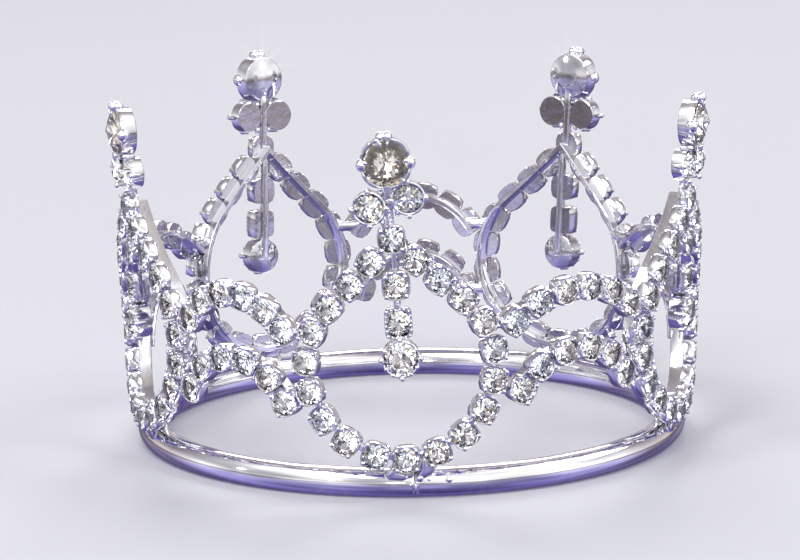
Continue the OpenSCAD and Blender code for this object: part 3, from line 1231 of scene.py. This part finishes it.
    def build(self, workshop: Workshop) -> None:
        """Builds the ring's piece."""
        sketch = Sketch()
        self.tube(sketch)
        for number, point in enumerate(POINTS):
            self.solder(sketch, point, number)
            self.webs(sketch, point.matrix(), 1.0 if number == 0 else 0.86)
        self.burr(sketch)
        mesh = sketch.mesh("ring_with_solder", workshop.finishes.ring, crease=50)
        settle("ring_with_solder", mesh, Slot.RING, "base_ring")


@dataclass(frozen=True)
class LoopedPoint:
    """A teardrop loop of cup chain with its pair of settings and the big one at its tip."""

    point: Point
    number: int
    pair: RoundSetting = RoundSetting(1.9, 1.58, 1.3, 0.34, 1.75)
    top: RoundSetting = RoundSetting(2.8, 2.56, 1.7, 0.45, 2.2, lobes=14, swell=0.6)
    low: RoundSetting = RoundSetting(2.15, 1.86, 1.35, 0.34, 1.8, lobes=12, sunk=0.5)
    rungs: tuple[float, ...] = (31.9, 33.0, 33.75)
    drips: tuple[float, ...] = (29.3, 29.75, 30.2, 30.7, 31.3)
    square_grains: int = 20
    low_grains: int = 12

    def at(self, place: Place, out: float = 0.0) -> Matrix:
        """Frame of a place on this point."""
        return self.point.matrix() @ CROWN.on_face(place, out)

    def beside(self, across: float, out: float, height: float) -> Matrix:
        """Frame of a place on the point's axis plane, upright."""
        return self.point.matrix() @ shift(across, out, height)

    def finish(self, workshop: Workshop, sketch: Sketch, part: str, node: str) -> None:
        """Makes a metal piece of the sketch.

        Args:
            workshop: Where its finish is.
            sketch: The sketch of the piece.
            part: The part's name in the piece's name.
            node: The part's name in the node's name.
        """
        name = f"{part}_metal_{self.point.name}"
        settle(name, sketch.mesh(name, workshop.finishes.cups), Slot.CUPS, f"{node}_{self.point.name}")

    def top_claws(self, sketch: Sketch) -> None:
        """Draws the big claws: a broad one with two lobes above, one at each side and a tab below."""
        at = self.at(Place(0, CROWN.top_h))
        for side in (-1, 1):
            sketch.bead(at @ shift(side * 2.64, -0.05, 1.45), (0.59, 0.74, 0.72), 16, 8)
            sketch.bead(at @ shift(side * 2.26, 0.24, 1.9) @ spin("Y", side * 0.5), (0.36, 0.24, 0.22))
            sketch.bead(at @ shift(side * 0.42, 2.92, 1.4), (0.5, 0.6, 0.78), 16, 8)
            arm = at @ shift(side * 0.44 - 0.1, 2.26, 2.0) @ spin("Z", -side * 0.3)
            sketch.bead(arm, (0.19, 0.4 - side * 0.16, 0.2), 10)
        sketch.block(at @ shift(0, -2.76, 1.35), (0.4, 0.42, 0.78))

    def connector(self, sketch: Sketch) -> None:
        """Draws the slotted plate between the big setting and the pair, and the bar behind it."""
        low, high = CROWN.apex_h, CROWN.top_h - 2.0
        sketch.block(self.beside(0, 0.03, (low + high) / 2), (0.44, 0.26, (high - low) / 2), 0.3)
        for side in (-1, 1):
            sketch.block(self.beside(side * 0.3, -0.45, 32.8), (0.13, 0.3, 0.95))
        for height in self.rungs:
            sketch.block(self.beside(0, -0.42, height), (0.36, 0.3, 0.14))
        draw = random.Random(30 + self.number)
        for height in self.drips:
            drip = self.beside(draw.uniform(-0.22, 0.22), -0.34, height)
            sketch.bead(drip, (draw.uniform(0.3, 0.46), 0.3, draw.uniform(0.26, 0.36)), 10, solder_and_shade=0.05)

    def metal(self, workshop: Workshop) -> None:
        """Builds the soldered metal of the point."""
        sketch = Sketch()
        Strip().draw(sketch, self.point.matrix(), CROWN.loop_edge, closed=True)
        frames = [self.at(place) for place in CROWN.loop_places()]
        sketch.take(workshop.cups(frames, 100 + self.number))
        self.connector(sketch)
        for side in (-1, 1):
            self.pair.draw(sketch, self.at(self.point.pair_place(side)))
        self.top.cup(sketch, self.at(Place(0, CROWN.top_h)))
        self.top_claws(sketch)
        draw = random.Random(60 + self.number)
        for side in (-1, 1):
            for below in (-1.7, 1.45):
                at = Place(side * draw.uniform(0.7, 1.1), self.point.pair_place(side).height + below)
                size = draw.uniform(0.28, 0.4)
                sketch.bead(self.at(at, 0.2), (size, size * 1.3, size), 10, solder_and_shade=0.1)
        self.finish(workshop, sketch, "loop", "point")

    def square_cup(self, sketch: Sketch, at: Matrix) -> None:
        """Draws the square cup of the drop, with a row of grains along its rim."""
        # The last value of each ring paints shade: darkest at the cup's foot and on the floor of its pocket.
        turns = [
            Turn(1.38, -0.5, 1, 0.7),
            Turn(1.5, 0.2, 1, 0.4),
            Turn(1.52, 1.08, 1, 0.0),
            Turn(1.46, 1.2, 0.97, 0.0),
            Turn(1.42, 1.18, 0, 0.15),
            Turn(1.4, 0.05, 0, 1.0),
        ]
        sketch.lathe(turns, 32, at @ Matrix.Diagonal((1, 1.13, 1, 1)), power=6)
        for turn in angles(self.square_grains, math.pi / self.square_grains):
            reach = squared(turn, 6)
            grain = at @ shift(1.36 * reach * math.cos(turn), 1.54 * reach * math.sin(turn), 1.2)
            sketch.bead(grain, (0.2, 0.2, 0.22), 8, 5)

    def drop(self, workshop: Workshop) -> None:
        """Builds the stiff drop inside the loop."""
        sketch = Sketch()
        u, top = CROWN.drop_u, CROWN.apex_h - 0.6
        high, middle, low = CROWN.drop_heights
        sketch.block(self.beside(u, 0.53, (top + low) / 2), (0.42, 0.34, (top - low) / 2), 0.2)
        ChainCup().draw(sketch, self.at(Place(u, high)), 0.5)
        self.square_cup(sketch, self.at(Place(u, middle)))
        low_at = self.at(Place(u, low))
        self.low.draw(sketch, low_at)
        for i, turn in enumerate(angles(self.low_grains)):
            if i % 3:
                sketch.bead(low_at @ shift(*polar(1.98, turn, 1.36)), (0.25, 0.25, 0.24), 8, 5)
        for height in ((high + middle) / 2, (middle + low) / 2):
            sketch.bead(self.beside(u, 0.0, height), (0.3, 0.3, 0.5), solder_and_shade=0.1)
        self.finish(workshop, sketch, "drop", "drop")

    def crystals(self, workshop: Workshop) -> None:
        """Builds the stones of the point and its drop."""
        name, seed = self.point.name, 100 + self.number
        high, middle, low = (Place(CROWN.drop_u, height) for height in CROWN.drop_heights)
        frames = [self.at(place) for place in (*CROWN.loop_places(), high, middle)]
        tilt = workshop.CHAIN_TILT
        workshop.stones(f"loop_crystals_{name}", frames, workshop.small, seed, tilt, f"point_stones_{name}")
        ones = (
            ("pair_crystal_l", self.point.pair_place(-1), workshop.pair, -7, 3.0, "pair_stone_l"),
            ("pair_crystal_r", self.point.pair_place(1), workshop.pair, 7, 3.0, "pair_stone_r"),
            ("drop_crystal", low, workshop.drop, 20, 3.0, "drop_stone"),
            ("top_crystal", Place(0, CROWN.top_h), workshop.top, 30, 2.0, "top_stone"),
        )
        for title, place, shape, more, tilt, node in ones:
            workshop.stones(f"{title}_{name}", [self.at(place)], shape, seed + more, tilt, f"{node}_{name}")

    def build(self, workshop: Workshop) -> None:
        """Builds every piece of the point."""
        self.metal(workshop)
        self.drop(workshop)
        self.crystals(workshop)


@dataclass(frozen=True)
class Swag:
    """One arched swag of six cups, soldered to the loops at both ends."""

    bay: Bay
    arch: Arch
    level: str
    number: int
    strip: Strip = Strip(outer=-0.25)
    steps: int = 36
    run_out: float = 1.3
    tail: float = 4.5
    stride: float = 0.05
    depth: float = -0.98
    solder_steps: int = 10
    solder_sides: int = 14

    def frames(self) -> list[Matrix]:
        """Frames of the swag's cups, from left to right."""
        return [self.bay.matrix() @ CROWN.on_face(place) for place in self.bay.places(self.arch)]

    def room(self, side: int, walk: Callable[[float], Vector], most: float) -> float:
        """How far something may run on before it reaches the strip of the loop.

        Args:
            side: -1 for the left loop, 1 for the right one.
            walk: Gives the place after a length, in the bay's frame.
            most: The longest run.

        Returns:
            The length, a little into the strip.
        """
        point = self.bay.second if side > 0 else self.bay.first
        back, matrix = point.matrix().inverted(), self.bay.matrix()
        run = 0.0
        while run < most:
            local = back @ (matrix @ walk(run))
            if CROWN.in_loop(local.x, local.z, CROWN.strip_t / 2 - 0.12):
                break
            run += self.stride
        return run

    def metal(self, workshop: Workshop) -> None:
        """Builds the strip, the cups and the solder of the swag."""
        radius, half = self.bay.curve(self.arch)
        peak = self.arch.peak

        def end(side: int) -> float:
            """Angle at which the strip ends."""

            def walk(run: float) -> Vector:
                """Place on the arch past its end cup."""
                turn = side * (half + run / radius)
                return CROWN.on_shell(radius * math.sin(turn), peak - radius * (1 - math.cos(turn)), -0.85)

            return half + self.room(side, walk, self.run_out) / radius

        left, right = end(-1), end(1)

        def edge(grow: float) -> Outline:
            """The arch at an offset from its middle."""
            turns = [-left + (left + right) * i / self.steps for i in range(self.steps + 1)]
            r = radius + grow
            return [(r * math.sin(t), peak - radius + r * math.cos(t)) for t in turns]

        sketch = Sketch()
        self.strip.draw(sketch, self.bay.matrix(), edge, closed=False)
        sketch.take(workshop.cups(self.frames(), 200 + self.number, sunk=True))
        draw = random.Random(80 + self.number)
        places = self.bay.places(self.arch)
        for side, place in ((-1, places[0]), (1, places[-1])):
            self.solder(sketch, side, place, draw)
        name = f"{self.level}_swag_{self.bay.name}"
        settle(f"{name}_metal", sketch.mesh(f"{name}_metal", workshop.finishes.cups), Slot.CUPS, name)

    def solder(self, sketch: Sketch, side: int, place: Place, draw: random.Random) -> None:
        """Draws the solder that carries an end of the swag to its loop.

        Args:
            sketch: The sketch that it joins.
            side: -1 for the left end, 1 for the right one.
            place: The end cup's place.
            draw: Source of its lumps.
        """

        def walk(run: float) -> Vector:
            """Place along the solder from the cup's middle."""
            return CROWN.on_shell(place.across + side * run, place.height, self.depth)

        length = self.room(side, walk, self.tail)
        rows = []
        for i in range(self.solder_steps + 1):
            across = place.across + side * (length * i / self.solder_steps)
            neck = 0.62 + 0.12 * abs(2 * i / self.solder_steps - 1)
            row = []
            for angle in angles(self.solder_sides):
                reach = squared(angle, 2.6) * (1 + draw.uniform(-0.06, 0.04))
                height = place.height + neck * 0.94 * reach * math.cos(angle)
                depth = self.depth + 0.4 * reach * math.sin(angle)
                row.append(self.bay.matrix() @ CROWN.on_shell(across, height, depth))
            rows.append(sketch.ring(row, 0.2))
        sketch.loft(rows)

    def crystals(self, workshop: Workshop) -> None:
        """Builds the six stones of the swag."""
        name, bay, tilt = f"{self.level}_swag", self.bay.name, workshop.CHAIN_TILT
        piece, node = f"{name}_{bay}_crystals", f"{name}_stones_{bay}"
        workshop.stones(piece, self.frames(), workshop.small, 200 + self.number, tilt, node)

    def build(self, workshop: Workshop) -> None:
        """Builds the swag's metal and stones."""
        self.metal(workshop)
        self.crystals(workshop)


# The studio.


@dataclass(frozen=True)
class Panel:
    """A soft light: where it stands in metres, its size, power, colour and whether it only makes glints."""

    at: Triple
    size: float
    power: float
    colour: Colour = WHITE
    glint: bool = False


@dataclass(frozen=True)
class Studio:
    """The pale floor, the soft lights, the surroundings that the metal mirrors, and the camera."""

    distance: float = 0.4665
    elevation: float = 13.70
    roll: float = -0.95
    lens: float = 178.65
    sensor: float = 36
    target: Triple = (-0.0011, 0.0, 0.018)
    middle: Triple = (0, 0, 0.02)
    floor_r: float = 3.0
    floor_sides: int = 64
    air: Colour = (0.42, 0.42, 0.46)
    cells: float = 5.0
    room: Stops = (
        (0.0, (0.1, 0.08, 0.3)),
        (0.12, (0.24, 0.21, 0.54)),
        (0.28, (0.4, 0.38, 0.74)),
        (0.42, (0.6, 0.59, 0.82)),
        (0.46, (0.28, 0.23, 0.21)),
        (0.5, (1.15, 1.15, 1.15)),
        (0.62, (0.82, 0.82, 0.85)),
        (0.93, (1.3, 1.3, 1.3)),
        (1.0, (0.5, 0.44, 0.42)),
    )
    behind: Stops = ((0.56, WHITE), (0.74, (0.52, 0.46, 0.48)))
    drift: Stops = ((0.4, (0.55, 0.55, 0.58)), (0.6, (1.25, 1.25, 1.25)))
    glints: Stops = (
        (0.0, (0.06, 0.06, 0.08)),
        (0.15, (0.36, 0.4, 0.5)),
        (0.28, (0.95, 0.97, 1.0)),
        (0.5, (1.5, 1.5, 1.5)),
        (0.62, (0.5, 0.36, 0.22)),
        (0.69, (1.4, 1.4, 1.4)),
        (0.85, (0.14, 0.14, 0.18)),
        (0.92, (7.0, 7.0, 7.0)),
    )
    panels: tuple[Panel, ...] = (
        Panel((-0.3, -0.35, 0.75), 0.5, 4.0),
        Panel((0.55, 0.1, 0.6), 0.4, 1.6, (0.95, 0.96, 1.0)),
        Panel((0.0, 0.6, 0.5), 0.35, 1.4),
        Panel((-0.5, -0.75, 0.32), 0.06, 0.5, glint=True),
        Panel((0.45, -0.8, 0.42), 0.06, 0.5, glint=True),
        Panel((0.12, -0.9, 0.75), 0.07, 0.6, glint=True),
        Panel((-0.15, -1.0, 0.16), 0.05, 0.4, (1.0, 0.9, 0.78), glint=True),
        Panel((0.8, -0.3, 0.25), 0.06, 0.5, glint=True),
        Panel((-0.8, -0.2, 0.3), 0.06, 0.5, glint=True),
        Panel((-0.3, 0.8, 0.35), 0.06, 0.5, glint=True),
        Panel((0.4, 0.75, 0.3), 0.06, 0.5, glint=True),
    )

    def floor(self) -> None:
        """Lays the plain pale floor."""
        mesh = bpy.data.meshes.new("floor")
        rim = [polar(self.floor_r, turn, 0) for turn in angles(self.floor_sides)]
        mesh.from_pydata(rim, [], [tuple(range(self.floor_sides))])
        mesh.materials.append(FloorFinish().material())
        floor = shown("floor", mesh)
        floor.visible_glossy = False
        floor.visible_transmission = False

    def lights(self) -> None:
        """Hangs the soft lights and the small ones that only make glints."""
        for number, panel in enumerate(self.panels):
            light = bpy.data.lights.new(f"panel_{number}", "AREA")
            light.shape = "DISK" if panel.glint else "SQUARE"
            light.size = panel.size
            light.energy = panel.power
            light.color = panel.colour
            lamp = shown(f"panel_{number}", light)
            lamp.location = panel.at
            aim = Vector(self.middle) - Vector(panel.at)
            lamp.rotation_euler = aim.to_track_quat("-Z", "Y").to_euler()
            lamp.visible_diffuse = not panel.glint

    def surroundings(self) -> None:
        """Makes the room that the metal and the stones mirror, and the plain air that the camera sees."""
        world = bpy.data.worlds.new("studio")
        bpy.context.scene.world = world
        world.use_nodes = True
        bench = Bench(world.node_tree)
        where = bench.add("ShaderNodeTexCoord").outputs["Generated"]
        split = bench.add("ShaderNodeSeparateXYZ", {0: where}).outputs
        level, back = (bench.remap(split[axis], -1.0, 1.0) for axis in ("Z", "Y"))
        room = bench.ramp(level, self.room)
        room = bench.mix(1.0, room, bench.ramp(back, self.behind), "MULTIPLY")
        mirrored = bench.mix(1.0, room, bench.ramp(bench.noise(where, 1.3, 1.0), self.drift), "MULTIPLY")
        cells = bench.add("ShaderNodeTexVoronoi", {"Vector": where, "Scale": self.cells})
        pick = bench.add("ShaderNodeSeparateColor", {0: cells.outputs["Color"]}).outputs[0]
        glints = bench.ramp(pick, self.glints, "CONSTANT")
        ray = bench.add("ShaderNodeLightPath").outputs
        seen = bench.mix(ray["Is Glossy Ray"], (*self.air, 1), mirrored)
        seen = bench.mix(ray["Is Transmission Ray"], seen, glints)
        air = bench.add("ShaderNodeBackground", {"Color": seen, "Strength": 1.0})
        bench.add("ShaderNodeOutputWorld", {"Surface": air.outputs[0]})

    def camera(self) -> None:
        """Sets the camera at the photograph's angle."""
        lift, roll = math.radians(self.elevation), math.radians(self.roll)
        eye = Vector((0, -self.distance * math.cos(lift), self.distance * math.sin(lift)))
        view = (Vector(self.target) - eye).normalized()
        across = view.cross(Vector((0, 0, 1))).normalized()
        up = across.cross(view)
        right = across * math.cos(roll) + up * math.sin(roll)
        over = up * math.cos(roll) - across * math.sin(roll)
        data = bpy.data.cameras.new("camera")
        data.lens = self.lens
        data.sensor_width = self.sensor
        data.sensor_fit = "HORIZONTAL"
        data.clip_start = 0.01
        camera = shown("camera", data)
        camera.matrix_world = shift(*eye) @ Matrix((right, over, -view)).transposed().to_4x4()
        bpy.context.scene.camera = camera

    def sparkle(self) -> None:
        """Gives the brightest glints short rays, as a lens does."""
        scene = bpy.context.scene
        scene.view_settings.view_transform = "Standard"
        scene.use_nodes = True
        bench = Bench(scene.node_tree)
        picture = bench.add("CompositorNodeRLayers").outputs["Image"]
        values = {"Threshold": 3.0, "Strength": 0.12, "Streaks": 8, "Fade": 0.86, "Color Modulation": 0.1}
        rays = bench.add("CompositorNodeGlare", {"Image": picture, **values}, glare_type="STREAKS")
        bench.add("CompositorNodeComposite", {"Image": rays.outputs["Image"]})

    def build(self) -> None:
        """Sets up the whole studio."""
        self.camera()
        self.floor()
        self.lights()
        self.surroundings()
        self.sparkle()


def main() -> None:
    """Builds the tiara's pieces in order and sets up the studio."""
    logging.basicConfig(level=logging.INFO, format="%(message)s")
    Studio().build()
    workshop = Workshop(Finishes.make())
    BaseRing().build(workshop)
    for number, point in enumerate(POINTS):
        LoopedPoint(point, number).build(workshop)
    for number, bay in enumerate(BAYS):
        Swag(bay, bay.upper, "upper", number).build(workshop)
        Swag(bay, bay.lower, "lower", number + 10).build(workshop)
    workshop.clear()


if __name__ == "__main__":
    main()
